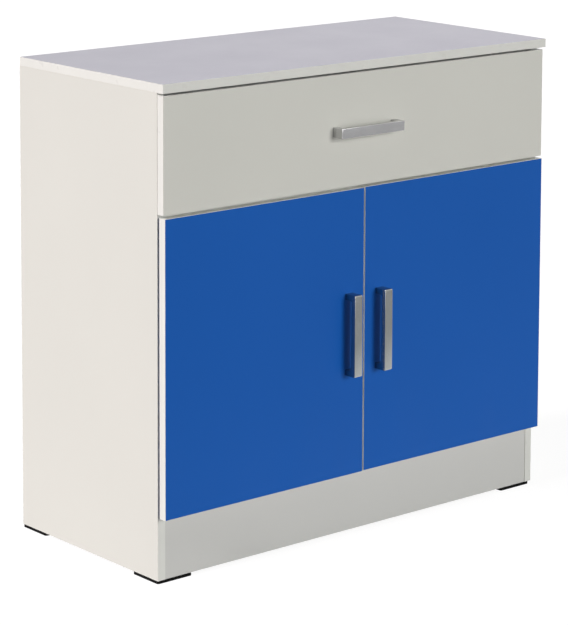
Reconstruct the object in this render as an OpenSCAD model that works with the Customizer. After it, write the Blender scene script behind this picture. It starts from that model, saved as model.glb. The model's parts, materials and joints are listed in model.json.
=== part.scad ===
// Bedside cabinet: one full-width drawer over a two-door cupboard, in melamine board.
// Frame: +Z up, front towards -Y, origin on the floor below the middle of the side panels.

/* [Overall size] */
// Width over the two side panels
body_w = 850; // [780:10:900]
// Depth of a side panel, front edge to rear edge
body_d = 380; // [375:5:420]
// Height from the floor to the worktop's upper face
body_h = 815; // [790:5:850]
// Thickness of every melamine board
board_t = 15; // [15:0.5:16]
// How far the worktop passes the right side panel
top_overhang = 7; // [0:1:15]

/* [Front] */
// Height of the doors' lower edge above the floor
door_bottom = 109; // [105:1:125]
// Height of the left door's upper edge
door_top = 600; // [596:1:602]
// How much higher the right door hangs than the left one
right_door_lift = 0.8; // [0:0.1:2.5]
// Lower edge of the drawer front
drawer_front_bottom = 605; // [605:1:610]
// Slot between the drawer front and the worktop
top_slot = 3.5; // [2.5:0.5:5]
// Distance from a door's outer edge to the cabinet's side
front_inset = 1.5; // [1.5:0.5:2.5]
// Distance from the drawer front's ends to the cabinet's sides
drawer_inset = 0.5; // [0:0.5:2]
// Gap between the two doors
door_split = 2; // [2:0.5:4]
// Gap behind a closed door, filled by its bumpers
door_gap = 3; // [3:0.1:3.2]
// Thickness of the edge banding
band_t = 0.5; // [0.5:0.5:1.5]

/* [Handles] */
// Distance between a handle's two screws
handle_pitch = 128; // [96:32:128]
// Width of the handle bar seen from the front
handle_w = 16.5; // [12:0.5:18]
// How far a handle stands off its front
handle_reach = 25; // [22:1:30]
// Height of the door handles' middle
door_handle_z = 353.5; // [330:0.5:400]
// Distance of a door handle's middle line from the door's free edge
door_handle_edge = 33; // [30:1:45]

/* [Drawer] */
// Height of the drawer's side boards
drawer_h = 120; // [110:5:130]
// Thickness of the drawer's side boards
drawer_t = 12; // [12:1:13]
// Length of the drawer's side boards
drawer_len = 340; // [320:5:345]
// Thickness of the hardboard back and drawer bottom
hardboard_t = 3; // [2.5:0.5:3]

/* [Hinges] */
// Diameter of a hinge cup
cup_d = 35; // [35:1:35]
// Distance from a door's upper or lower edge to the hinge
hinge_edge = 80; // [70:5:100]

/* [Hidden] */

// Colours
WHITE = [0.91, 0.89, 0.86];
TOP_GREY = [0.76, 0.75, 0.79];
FRONT_WHITE = [0.78, 0.78, 0.75];
BLUE = [0.13, 0.34, 0.63];
BAND = [0.93, 0.93, 0.92];
BROWN = [0.55, 0.42, 0.30];
BEECH = [0.83, 0.70, 0.52];
STEEL = [0.70, 0.70, 0.70];
ZINC = [0.60, 0.60, 0.61];
NICKEL = [0.62, 0.62, 0.61];
BLACK = [0.05, 0.05, 0.05];
CLEAR = [0.85, 0.86, 0.86];

// Clearance left round every pin, screw and dowel, and how far a cutter passes a face
gap = 0.05;
past = 1;

// Carcass planes
x_out = body_w / 2;
x_in = x_out - board_t;
y_front = -body_d / 2;
y_rear = body_d / 2;
foot_t = 5;
z_under_top = body_h - board_t;
z_bottom = door_bottom - 2;
z_divider = drawer_front_bottom - 13;
back_inset = 9.5;
y_back = y_rear - back_inset - hardboard_t;
groove_deep = 6;
groove_slack = 0.2;
panel_rear = y_back - groove_slack;
plinth_setback = 1;

// Board joints: dowels and cams share each panel end
cam_y = 115;
dowel_y = 75;
cam_in = 24;
cam_r = 7.4;
cam_deep = 12.5;
bolt_r = 3;
bolt_thread_r = 2.4;
bolt_thread = 10;
dowel_r = 4;
dowel_in_side = 10;
dowel_in_panel = 20;
plinth_cam_z = foot_t + 35;
plinth_dowel_z = foot_t + 75;

// Shelf
shelf_z = 352;
shelf_front = y_front + 28;
shelf_side_gap = 1;
shelf_rear_gap = 3;
pin_hole_r = 2.5;
pin_tab_r = 3.5;
pin_tab_len = 8.5;
pin_in_side = 10;
pin_step = 32;
pin_ys = [shelf_front + 40, panel_rear - 45];

// Feet
foot_len = 70;
foot_side_len = 67;
foot_w = 24;
foot_shift = 5;
foot_screw_r = 1.75;
foot_screw_in = 22;
foot_head_r = 3.6;
foot_head_in = 0.6;
foot_corner_r = 4;
foot_screw_spots = [[-x_out + board_t / 2 + 1, y_front + 50],
                    [-x_out + 52, y_front + plinth_setback + board_t / 2]];

// Fronts: doors stand further out than the drawer front
front_x = x_out - front_inset;
drawer_front_x = x_out - drawer_inset;
drawer_gap = 0.2;
y_drawer_face = y_front - drawer_gap - board_t;
y_door_back = y_front - door_gap;
y_door_face = y_door_back - board_t;
drawer_front_top = z_under_top - top_slot;
drawer_handle_z = (drawer_front_bottom + drawer_front_top) / 2;

// Handle bar
handle_bar_t = 9.5;
handle_leg_t = 10;
handle_end = 6;
handle_edge_r = 1.2;
handle_screw_r = 2;
handle_thread_in = 12;
handle_head_r = 4;
handle_head_h = 2.6;
handle_hole_r = handle_screw_r + 0.25;

// Drawer slides: 13 mm packet on each side, three members and two ball sets
slide_pack = 13;
slide_h = 45;
slide_len = 350;
slide_z = 684;
slide_y0 = y_front + 2;
member_t = 1.2;
race_t = 1.6;
outer_flange_end = 10.4;
middle_web = 2.4;
middle_flange_end = 11;
inner_flange_end = 4.8;
ball_r = 1.6;
ball_pitch = 17;
ball_count = 10;
cage_len = 176;
cage_t = 0.8;
cage_w = 6;
cage_y0 = slide_y0 + 78;
outer_ball = [6.5, 19.6];
inner_ball = [7.9, 15.4];
middle_half = 18.3;
inner_half = 14.1;
slide_screw_r = 1.9;
slide_head_r = slide_screw_r + member_t;
slide_screw_in = 11.8;
slide_inner_screw = 11;
slide_screw_ys = [slide_y0 + 36, slide_y0 + 164, slide_y0 + 292];

// Drawer box
box_x = x_in - slide_pack;
box_y0 = y_front - drawer_gap;
box_y1 = box_y0 + drawer_len;
box_z0 = 624;
box_z1 = box_z0 + drawer_h;
bottom_z = box_z0 + 10;
box_screw_zs = [box_z0 + 20, box_z1 - 20];
box_screw_in = 26;
wood_screw_r = 2;
wood_head_r = 4;
fixing_xs = [-300, -110, 110, 300];
fixing_zs = [box_z0 + 32, box_z1 - 22];
fixing_in = 11;

// Doors
door_free_x = -door_split / 2;
bumper_r = 4;
bumper_t = door_gap - 0.4;
bumper_in = 40;
bumper_zs = [door_bottom + 7.5, door_top - 4.5];

// Hinges, in a plane seen from above: x from the side panel's inner face, y from its front edge
cup_r = cup_d / 2;
cup_edge = 3.5;
cup_x = front_inset - board_t + cup_edge + cup_r;
cup_wall = 0.8;
cup_floor = 0.6;
cup_deep = 12;
cup_lip = 1.2;
cup_lip_r = 19;
cup_wing = 12;
cup_wing_half = 27.5;
cup_screw_x = 9.5;
cup_screw_z = 22.5;
cup_screw_r = 1.6;
cup_head_r = 2.8;
cup_screw_len = 12;
pivot = [cup_x - 13.9, -door_gap - 9.2];
pin_r = 1.1;
pin_half = 8.6;
knuckle_r = 1.85;
neck_t = 1.6;
neck_half = 5;
neck_x = cup_x - 1;
neck_out_y = -2;
ear_in = neck_half + 0.2;
ear_half = 2.2;
arm_web_x = 11.3;
arm_y0 = 5;
arm_end = 62;
arm_half = 8.5;
arm_flange = 7;
arm_flange_y0 = 9;
arm_screw_r = 2;
arm_head_r = 3.6;
arm_head_h = 2;
arm_screw_ys = [33, 49];
plate_t = 2.2;
plate_y0 = 16;
plate_len = 46;
plate_window = 8;
rib_half = 6.6;
rib_top = arm_web_x - neck_t / 2 - 0.2;
plate_wing = 16;
plate_wing_half = 23;
plate_hole_y = 37;
plate_hole_z = 16;
plate_screw_r = 1.9;
plate_head_r = 3.5;
plate_screw_len = 14;
hinge_zs = [door_bottom + hinge_edge, door_top - hinge_edge];

// ---------- helpers ----------

// Cylinder along +X from [x, y, z]
module rod_x(x, y, z, len, r) {
    translate([x, y, z]) rotate([0, 90, 0]) cylinder(h = len, r = r, $fn = 48);
}

// Cylinder along +Y from [x, y, z]
module rod_y(x, y, z, len, r) {
    translate([x, y, z]) rotate([-90, 0, 0]) cylinder(h = len, r = r, $fn = 48);
}

// Box from one corner to the opposite one
module block(a, b) {
    translate(a) cube(b - a);
}

// The children on the left and, mirrored, on the right
module both_sides() {
    children();
    mirror([1, 0, 0]) children();
}

// Countersunk screw along +X with its flat head's face at x = 0
module flat_screw(len, r, head_r) {
    rotate([0, 90, 0]) {
        cylinder(h = head_r - r, r1 = head_r, r2 = r, $fn = 48);
        cylinder(h = len - r, r = r, $fn = 48);
        translate([0, 0, len - r]) cylinder(h = r, r1 = r, r2 = r / 4, $fn = 48);
    }
}

// The room such a screw needs, one clearance larger all round
module flat_screw_room(len, r, head_r) {
    rotate([0, 90, 0]) {
        translate([0, 0, -past]) cylinder(h = past + gap, r = head_r + gap, $fn = 48);
        translate([0, 0, gap]) cylinder(h = head_r - r, r1 = head_r + gap, r2 = r + gap, $fn = 48);
        cylinder(h = len + gap, r = r + gap, $fn = 48);
    }
}

// ---------- board joints ----------

// Frames on the left side: x runs into the panel, z points out of the cam's mouth
module bottom_joint(y) {
    translate([-x_in, y, z_bottom + board_t / 2]) rotate([180, 0, 0]) children();
}

module divider_joint(y) {
    translate([-x_in, y, z_divider + board_t / 2]) children();
}

module top_joint(y) {
    translate([-x_in - board_t / 2, y, z_under_top]) rotate([0, 90, 0]) children();
}

module plinth_joint(z, rear) {
    y = rear ? y_rear - plinth_setback - board_t / 2 : y_front + plinth_setback + board_t / 2;
    translate([-x_in, y, z]) rotate([rear ? 90 : -90, 0, 0]) children();
}

module panel_cams() {
    for (y = [-cam_y, cam_y]) {
        bottom_joint(y) children();
        divider_joint(y) children();
    }
}

module side_cams() {
    panel_cams() children();
    for (rear = [false, true]) plinth_joint(plinth_cam_z, rear) children();
}

module side_dowels() {
    for (y = [-dowel_y, dowel_y]) {
        bottom_joint(y) children();
        divider_joint(y) children();
        top_joint(y) children();
    }
    for (rear = [false, true]) plinth_joint(plinth_dowel_z, rear) children();
}

module top_cams() {
    for (y = [-cam_y, cam_y]) top_joint(y) children();
}

module cam_room() {
    rod_x(-bolt_thread - gap, 0, 0, bolt_thread + past, bolt_thread_r + gap);
    rod_x(0, 0, 0, cam_in, bolt_r + gap);
    translate([cam_in, 0, board_t / 2 - cam_deep])
        cylinder(h = cam_deep + past, r = cam_r + gap, $fn = 64);
}

module dowel_room() {
    rod_x(-dowel_in_side, 0, 0, dowel_in_side + dowel_in_panel, dowel_r + gap);
}

module carcass_joint_room() {
    both_sides() {
        side_cams() cam_room();
        top_cams() cam_room();
        side_dowels() dowel_room();
    }
}

module cam_lock() {
    cross_w = 1.4;
    cross_l = 7;
    face = board_t / 2 - 0.4;
    difference() {
        translate([cam_in, 0, board_t / 2 - cam_deep + gap])
            cylinder(h = face - board_t / 2 + cam_deep - gap, r = cam_r, $fn = 64);
        rod_x(cam_in - cam_r - past, 0, 0, cam_r + past + 3.6, bolt_r + gap);
        for (a = [0, 90])
            translate([cam_in, 0, face]) rotate([0, 0, a])
                cube([cross_l, cross_w, 4], center = true);
    }
}

module cam_bolt() {
    rod_x(-bolt_thread, 0, 0, bolt_thread, bolt_thread_r);
    rod_x(0, 0, 0, cam_in - 5, bolt_r);
    rod_x(cam_in - 5, 0, 0, 4, 1.8);
    rod_x(cam_in - 1, 0, 0, 4, bolt_r - 0.1);
}

module cam_locks() {
    color(ZINC) both_sides() {
        side_cams() cam_lock();
        top_cams() cam_lock();
    }
}

module cam_bolts() {
    color(STEEL) both_sides() {
        side_cams() cam_bolt();
        top_cams() cam_bolt();
    }
}

module dowels() {
    chamfer = 0.8;
    len = dowel_in_side + dowel_in_panel - 1;
    color(BEECH) both_sides() side_dowels()
        translate([0.5 - dowel_in_side, 0, 0]) rotate([0, 90, 0]) {
            cylinder(h = chamfer, r1 = dowel_r - chamfer, r2 = dowel_r, $fn = 48);
            translate([0, 0, chamfer]) cylinder(h = len - 2 * chamfer, r = dowel_r, $fn = 48);
            translate([0, 0, len - chamfer])
                cylinder(h = chamfer, r1 = dowel_r, r2 = dowel_r - chamfer, $fn = 48);
        }
}

// ---------- carcass ----------

// Slot for the hardboard back in the sides and the worktop
module back_groove() {
    block([-x_in - groove_deep, y_back - groove_slack, foot_t - past],
          [x_in + groove_deep, y_back + hardboard_t + groove_slack, z_under_top + groove_deep]);
}

module side_board() {
    difference() {
        block([-x_out, y_front + band_t, foot_t], [-x_in, y_rear, z_under_top]);
        back_groove();
        carcass_joint_room();
        for (y = pin_ys, n = [-1, 0, 1]) rod_x(-x_in - pin_in_side, y, shelf_z - pin_tab_r + n * pin_step,
                                               pin_in_side + past, pin_hole_r);
        for (y = slide_screw_ys)
            rod_x(-x_in - slide_screw_in - gap, y, slide_z, slide_screw_in + past, slide_screw_r + gap);
        foot_screw_rooms();
        children();
    }
}

module side_left() {
    color(WHITE) side_board() hinge_plate_screw_room(0);
}

module side_right() {
    color(WHITE) mirror([1, 0, 0]) side_board() hinge_plate_screw_room(right_door_lift);
}

module worktop() {
    color(TOP_GREY) difference() {
        block([-x_out + band_t, y_drawer_face + band_t, z_under_top],
              [x_out + top_overhang - band_t, y_rear, body_h]);
        back_groove();
        carcass_joint_room();
    }
}

module bottom_panel() {
    color(WHITE) difference() {
        block([-x_in, y_front + band_t, z_bottom], [x_in, panel_rear, z_bottom + board_t]);
        carcass_joint_room();
    }
}

module divider_panel() {
    color(WHITE) difference() {
        block([-x_in, y_front + band_t, z_divider], [x_in, panel_rear, z_divider + board_t]);
        carcass_joint_room();
    }
}

module back_panel() {
    color(BAND) block([-x_in - groove_deep + 0.5, y_back, z_bottom + groove_slack],
                      [x_in + groove_deep - 0.5, y_back + hardboard_t, z_under_top + groove_deep - 0.5]);
}

module plinth(y0) {
    difference() {
        block([-x_in, y0, foot_t], [x_in, y0 + board_t, z_bottom]);
        carcass_joint_room();
        both_sides() foot_screw_rooms();
    }
}

module plinth_front() {
    color(FRONT_WHITE) plinth(y_front + plinth_setback);
}

module plinth_rear() {
    color(WHITE) plinth(y_rear - plinth_setback - board_t);
}

module carcass_edge_bands() {
    y1 = y_front + band_t;
    color(BAND) {
        both_sides() block([-x_out, y_front, foot_t], [-x_in, y1, z_under_top]);
        block([-x_in, y_front, z_bottom], [x_in, y1, z_bottom + board_t]);
        block([-x_in, y_front, z_divider], [x_in, y1, z_divider + board_t]);
        block([-x_in + shelf_side_gap, shelf_front, shelf_z],
              [x_in - shelf_side_gap, shelf_front + band_t, shelf_z + board_t]);
        block([-x_out, y_drawer_face, z_under_top],
              [x_out + top_overhang, y_drawer_face + band_t, body_h]);
        block([-x_out, y_drawer_face + band_t, z_under_top],
              [-x_out + band_t, y_rear, body_h]);
        block([x_out + top_overhang - band_t, y_drawer_face + band_t, z_under_top],
              [x_out + top_overhang, y_rear, body_h]);
    }
}

module shelf() {
    color(WHITE) block([-x_in + shelf_side_gap, shelf_front + band_t, shelf_z],
                       [x_in - shelf_side_gap, panel_rear - shelf_rear_gap, shelf_z + board_t]);
}

module shelf_pins() {
    stem = pin_in_side - 0.5;
    color(NICKEL) both_sides() for (y = pin_ys) {
        rod_x(-x_in - stem, y, shelf_z - pin_tab_r, stem + past, pin_hole_r - gap);
        rod_x(-x_in, y, shelf_z - pin_tab_r, pin_tab_len, pin_tab_r);
    }
}

// ---------- feet ----------

// The children at the four corners; $shift is how far the foot there sits inwards
module foot_corners() {
    for (mx = [0, 1], my = [0, 1]) {
        $shift = mx == 1 && my == 0 ? foot_shift : 0;
        mirror([mx, 0, 0]) mirror([0, my, 0]) children();
    }
}

module foot_screw_places() {
    for (p = foot_screw_spots)
        translate([p[0], p[1], foot_head_in]) rotate([0, -90, 0]) children();
}

module foot_outline() {
    r = foot_corner_r;
    w = foot_w;
    translate([r, 0]) square([foot_len - 2 * r, w]);
    translate([0, r]) square([w, foot_side_len - 2 * r]);
    translate([foot_len - r - past, r]) square([r + past, w - 2 * r]);
    translate([r, foot_side_len - r - past]) square([w - 2 * r, r + past]);
    corners = [[r, r], [foot_len - r, r], [foot_len - r, w - r],
               [r, foot_side_len - r], [w - r, foot_side_len - r]];
    for (p = corners) translate(p) circle(r, $fn = 48);
}

module foot_screw_rooms() {
    for (my = [0, 1]) mirror([0, my, 0]) foot_screw_places()
        flat_screw_room(foot_t + foot_screw_in, foot_screw_r, foot_head_r);
}

module corner_feet() {
    color(BLACK) foot_corners() difference() {
        translate([-x_out + $shift, y_front, 0]) linear_extrude(foot_t) foot_outline();
        foot_screw_rooms();
    }
}

module foot_screws() {
    color(STEEL) both_sides() for (my = [0, 1]) mirror([0, my, 0]) foot_screw_places()
        flat_screw(foot_t + foot_screw_in, foot_screw_r, foot_head_r);
}

// ---------- drawer slides ----------

// Frame of the left slide: x from the side panel's face, z from the slide's middle line
module slide_frame() {
    translate([-x_in, 0, slide_z]) children();
}

// A C-shaped member of half height h: its web runs from u0 to u1, its flanges of race_t end at
// u_end, and a round ball track is cut at each given [u, w]
module member_profile(u0, u1, u_end, h, tracks) {
    low = min(u0, u_end);
    high = max(u1, u_end);
    open_low = u_end > u1 ? u1 : low - past;
    open_high = u_end > u1 ? high + past : u0;
    difference() {
        translate([low, -h]) square([high - low, 2 * h]);
        translate([open_low, race_t - h]) square([open_high - open_low, 2 * (h - race_t)]);
        for (t = tracks, s = [-1, 1]) translate([t[0], s * t[1]]) circle(ball_r + gap, $fn = 48);
    }
}

// Runs a profile in the slide's [x, z] plane along the slide
module slide_run() {
    translate([0, slide_y0 + slide_len, 0]) rotate([90, 0, 0]) linear_extrude(slide_len) children();
}

module slide_outer() {
    slide_frame() difference() {
        slide_run() member_profile(0, member_t, outer_flange_end, slide_h / 2, [outer_ball]);
        for (y = slide_screw_ys) translate([member_t, y, 0]) mirror([1, 0, 0])
            flat_screw_room(slide_screw_in, slide_screw_r, slide_head_r);
    }
}

module slide_middle() {
    slide_frame() slide_run() member_profile(middle_web, middle_web + member_t, middle_flange_end,
                                             middle_half, [outer_ball, inner_ball]);
}

module slide_inner() {
    slide_frame() difference() {
        slide_run() member_profile(slide_pack - member_t, slide_pack, inner_flange_end, inner_half,
                                   [inner_ball]);
        for (y = slide_screw_ys) translate([slide_pack - member_t, y, 0])
            flat_screw_room(slide_screw_in, slide_screw_r, slide_head_r);
    }
}

module slide_outer_left() {
    color(STEEL) slide_outer();
}

module slide_outer_right() {
    color(STEEL) mirror([1, 0, 0]) slide_outer();
}

module slide_middle_left() {
    color(STEEL) slide_middle();
}

module slide_middle_right() {
    color(STEEL) mirror([1, 0, 0]) slide_middle();
}

module slide_inner_left() {
    color(STEEL) slide_inner();
}

module slide_inner_right() {
    color(STEEL) mirror([1, 0, 0]) slide_inner();
}

module slide_outer_screws() {
    color(ZINC) both_sides() slide_frame() for (y = slide_screw_ys)
        translate([member_t, y, 0]) mirror([1, 0, 0])
            flat_screw(slide_screw_in + member_t, slide_screw_r, slide_head_r);
}

module slide_inner_screws() {
    color(ZINC) both_sides() slide_frame() for (y = slide_screw_ys)
        translate([slide_pack - member_t, y, 0])
            flat_screw(slide_inner_screw, slide_screw_r, slide_head_r);
}

module ball_places(at) {
    first_y = cage_y0 + (cage_len - (ball_count - 1) * ball_pitch) / 2;
    for (s = [-1, 1], i = [0:ball_count - 1])
        translate([at[0], first_y + i * ball_pitch, s * at[1]]) children();
}

module ball_cage(at) {
    slide_frame() difference() {
        for (s = [-1, 1]) translate([at[0] - cage_w / 2, cage_y0, s * at[1] - cage_t / 2])
            cube([cage_w, cage_len, cage_t]);
        ball_places(at) cylinder(h = 2 * cage_t, r = ball_r + gap, center = true, $fn = 32);
    }
}

module outer_ball_cages() {
    color(ZINC) both_sides() ball_cage(outer_ball);
}

module inner_ball_cages() {
    color(ZINC) both_sides() ball_cage(inner_ball);
}

module outer_balls() {
    color(STEEL) both_sides() slide_frame() ball_places(outer_ball) sphere(r = ball_r, $fn = 24);
}

module inner_balls() {
    color(STEEL) both_sides() slide_frame() ball_places(inner_ball) sphere(r = ball_r, $fn = 24);
}

// ---------- drawer ----------

module bottom_groove() {
    slack = 0.1;
    block([-box_x + drawer_t - groove_deep, box_y0 + drawer_t - groove_deep, bottom_z - slack],
          [box_x - drawer_t + groove_deep, box_y1 + past, bottom_z + hardboard_t + slack]);
}

// Screws through the drawer's sides into its front and back boards
module box_screw_places() {
    for (y = [box_y0 + drawer_t / 2, box_y1 - drawer_t / 2], z = box_screw_zs)
        translate([-box_x, y, z]) children();
}

module box_screw_room() {
    both_sides() box_screw_places()
        flat_screw_room(drawer_t + box_screw_in, wood_screw_r, wood_head_r);
}

module drawer_side() {
    difference() {
        block([-box_x, box_y0, box_z0], [-box_x + drawer_t, box_y1, box_z1]);
        bottom_groove();
        box_screw_room();
        slide_frame() for (y = slide_screw_ys)
            rod_x(slide_pack - past, y, 0, past + slide_inner_screw - member_t + gap, slide_screw_r + gap);
    }
}

module drawer_side_left() {
    color(WHITE) drawer_side();
}

module drawer_side_right() {
    color(WHITE) mirror([1, 0, 0]) drawer_side();
}

// Holes for the drawer handle's screws and the screws that hold the drawer front
module front_holes(y1) {
    for (s = [-1, 1]) rod_y(s * handle_pitch / 2, y_drawer_face - past, drawer_handle_z,
                            y1 - y_drawer_face + 2 * past, handle_hole_r);
    fixing_places() flat_screw_room(drawer_t + fixing_in, wood_screw_r, wood_head_r);
}

module fixing_places() {
    for (x = fixing_xs, z = fixing_zs)
        translate([x, box_y0 + drawer_t, z]) rotate([0, 0, -90]) children();
}

module drawer_box_front() {
    color(WHITE) difference() {
        block([-box_x + drawer_t, box_y0, box_z0], [box_x - drawer_t, box_y0 + drawer_t, box_z1]);
        bottom_groove();
        box_screw_room();
        front_holes(box_y0 + drawer_t);
    }
}

module drawer_back() {
    color(WHITE) difference() {
        block([-box_x + drawer_t, box_y1 - drawer_t, bottom_z + hardboard_t + gap],
              [box_x - drawer_t, box_y1, box_z1]);
        box_screw_room();
    }
}

module drawer_bottom() {
    edge_in = drawer_t - groove_deep + 0.5;
    color(BAND) block([-box_x + edge_in, box_y0 + edge_in, bottom_z],
                      [box_x - edge_in, box_y1, bottom_z + hardboard_t]);
}

module drawer_box_screws() {
    color(STEEL) both_sides() box_screw_places()
        flat_screw(drawer_t + box_screw_in, wood_screw_r, wood_head_r);
}

module front_fixing_screws() {
    color(STEEL) fixing_places() flat_screw(drawer_t + fixing_in, wood_screw_r, wood_head_r);
}

module drawer_front() {
    color(FRONT_WHITE) difference() {
        block([-drawer_front_x + band_t, y_drawer_face, drawer_front_bottom + band_t],
              [drawer_front_x - band_t, box_y0, drawer_front_top - band_t]);
        front_holes(box_y0);
    }
}

module drawer_front_band() {
    color(BAND) difference() {
        block([-drawer_front_x, y_drawer_face, drawer_front_bottom],
              [drawer_front_x, box_y0, drawer_front_top]);
        block([-drawer_front_x + band_t, y_drawer_face - past, drawer_front_bottom + band_t],
              [drawer_front_x - band_t, box_y0 + past, drawer_front_top - band_t]);
    }
}

// ---------- handles ----------

// Strap handle on a face at y = 0, its bar along X; a leg's screw goes in from behind
module strap_handle() {
    half = handle_pitch / 2 + handle_end;
    flat_half = half - handle_edge_r;
    inner_half_len = half - handle_leg_t;
    difference() {
        translate([0, 0, -handle_w / 2]) linear_extrude(handle_w) difference() {
            union() {
                translate([-half, handle_edge_r - handle_reach])
                    square([2 * half, handle_reach - handle_edge_r]);
                translate([-flat_half, -handle_reach]) square([2 * flat_half, 2 * handle_edge_r]);
                for (s = [-1, 1]) translate([s * flat_half, handle_edge_r - handle_reach])
                    circle(handle_edge_r, $fn = 48);
            }
            translate([-inner_half_len, handle_bar_t - handle_reach])
                square([2 * inner_half_len, handle_reach]);
        }
        for (s = [-1, 1]) rod_y(s * handle_pitch / 2, -handle_thread_in, 0, handle_thread_in + past,
                                handle_screw_r + gap);
    }
}

// Cross recess of the given size, cut into a head whose face is at y = 0
module cross_recess(len, wide, deep) {
    for (a = [0, 90]) rotate([0, a, 0]) cube([len, 2 * deep, wide], center = true);
}

// The handle's two machine screws from behind a wall of the given thickness
module strap_handle_screws(wall) {
    thread = handle_thread_in - 1;
    for (s = [-1, 1]) translate([s * handle_pitch / 2, 0, 0]) {
        rod_y(0, -thread, 0, thread + wall, handle_screw_r);
        difference() {
            rod_y(0, wall, 0, handle_head_h, handle_head_r);
            translate([0, wall + handle_head_h, 0]) cross_recess(4.4, 1, 1.2);
        }
    }
}

module drawer_handle() {
    color(NICKEL) translate([0, y_drawer_face, drawer_handle_z]) strap_handle();
}

module drawer_handle_screws() {
    color(STEEL) translate([0, y_drawer_face, drawer_handle_z])
        strap_handle_screws(board_t + drawer_t);
}

// ---------- doors, drawn as the left one ----------

// The children as on the left door, or mirrored and lifted for the right one
module right_hand() {
    translate([0, 0, right_door_lift]) mirror([1, 0, 0]) children();
}

module door_handle_frame() {
    translate([door_free_x - door_handle_edge, y_door_face, door_handle_z]) rotate([0, -90, 0])
        children();
}

module door_board() {
    difference() {
        block([-front_x + band_t, y_door_face, door_bottom + band_t],
              [door_free_x - band_t, y_door_back, door_top - band_t]);
        door_handle_frame() for (s = [-1, 1])
            rod_y(s * handle_pitch / 2, -past, 0, board_t + 2 * past, handle_hole_r);
        hinge_places() {
            translate([cup_x, past - door_gap, 0]) rotate([90, 0, 0])
                cylinder(h = cup_deep + past, r = cup_r + gap, $fn = 96);
            cup_screw_room();
        }
    }
}

module door_band() {
    difference() {
        block([-front_x, y_door_face, door_bottom], [door_free_x, y_door_back, door_top]);
        block([-front_x + band_t, y_door_face - past, door_bottom + band_t],
              [door_free_x - band_t, y_door_back + past, door_top - band_t]);
    }
}

module bumpers() {
    for (z = bumper_zs) rod_y(door_free_x - bumper_in, y_door_back, z, bumper_t, bumper_r);
}

module left_door() {
    color(BLUE) door_board();
}

module right_door() {
    color(BLUE) right_hand() door_board();
}

module left_door_band() {
    color(BAND) door_band();
}

module right_door_band() {
    color(BAND) right_hand() door_band();
}

module left_door_handle() {
    color(NICKEL) door_handle_frame() strap_handle();
}

module right_door_handle() {
    color(NICKEL) right_hand() door_handle_frame() strap_handle();
}

module left_handle_screws() {
    color(STEEL) door_handle_frame() strap_handle_screws(board_t);
}

module right_handle_screws() {
    color(STEEL) right_hand() door_handle_frame() strap_handle_screws(board_t);
}

module left_bumpers() {
    color(CLEAR) bumpers();
}

module right_bumpers() {
    color(CLEAR) right_hand() bumpers();
}

// ---------- hinges ----------

// Hinge frames of the left door: x from the side's inner face, y from its front edge
module hinge_places() {
    for (z = hinge_zs) translate([-x_in, y_front, z]) children();
}

module cup_screw_places() {
    for (s = [-1, 1]) translate([cup_x + cup_screw_x, cup_lip - door_gap, s * cup_screw_z])
        rotate([0, 0, -90]) children();
}

module cup_screw_room() {
    cup_screw_places() flat_screw_room(cup_screw_len, cup_screw_r, cup_head_r);
}

// The hinge pin's axis, from -half to half in z
module on_pivot(half, r) {
    translate([pivot[0], pivot[1], -half]) cylinder(h = 2 * half, r = r, $fn = 48);
}

// Cup pressed into the door, with a screwed wing and two ears that carry the pin
module hinge_cup() {
    difference() {
        union() {
            difference() {
                union() {
                    translate([cup_x, -door_gap, 0]) rotate([90, 0, 0])
                        cylinder(h = cup_deep - gap, r = cup_r, $fn = 96);
                    translate([cup_x, cup_lip - door_gap, 0]) rotate([90, 0, 0])
                        cylinder(h = cup_lip, r = cup_lip_r, $fn = 96);
                    translate([cup_x + cup_screw_x - cup_wing / 2, -door_gap, -cup_wing_half])
                        cube([cup_wing, cup_lip, 2 * cup_wing_half]);
                }
                translate([cup_x, cup_lip + past - door_gap, 0]) rotate([90, 0, 0])
                    cylinder(h = cup_deep + cup_lip + past - cup_floor, r = cup_r - cup_wall, $fn = 96);
            }
            hinge_ears();
        }
        on_pivot(pin_half, pin_r + gap);
        cup_screw_room();
    }
}

module hinge_ears() {
    intersection() {
        translate([cup_x, pivot[1] + ear_half, 0]) rotate([90, 0, 0])
            cylinder(h = 2 * ear_half, r = cup_r - cup_wall / 2, $fn = 96);
        for (s = [0, 1]) mirror([0, 0, s])
            translate([pivot[0] - 2 * ear_half, pivot[1] - ear_half, ear_in])
                cube([3 * ear_half, 2 * ear_half, cup_r]);
    }
}

module hinge_pin() {
    on_pivot(pin_half - gap, pin_r);
}

// Strip of constant thickness through the given points
module bent_strip(points, t) {
    for (i = [0:len(points) - 2]) {
        d = points[i + 1] - points[i];
        translate(points[i]) rotate(atan2(d[1], d[0])) translate([0, -t / 2]) square([norm(d), t]);
    }
    for (p = points) translate(p) circle(d = t, $fn = 32);
}

// Goose-neck from the knuckle on the pin, out of the cup and back along the side panel
module hinge_arm() {
    web_start = [arm_web_x, arm_y0 + 1];
    neck = [pivot, [neck_x, pivot[1]], [neck_x, neck_out_y], [arm_web_x, arm_y0], [arm_web_x, plate_y0]];
    difference() {
        union() {
            translate([0, 0, -neck_half]) linear_extrude(2 * neck_half) {
                bent_strip(neck, neck_t);
                translate(pivot) circle(knuckle_r, $fn = 48);
            }
            translate([0, 0, -arm_half]) linear_extrude(2 * arm_half)
                bent_strip([web_start, [arm_web_x, arm_end]], neck_t);
            for (s = [0, 1]) mirror([0, 0, s])
                translate([arm_web_x - arm_flange, arm_flange_y0, arm_half - neck_t])
                    cube([arm_flange, arm_end - arm_flange_y0, neck_t]);
        }
        on_pivot(neck_half + past, pin_r + gap);
        for (y = arm_screw_ys) rod_x(0, y, 0, arm_web_x + neck_t, arm_screw_r + gap);
    }
}

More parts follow.
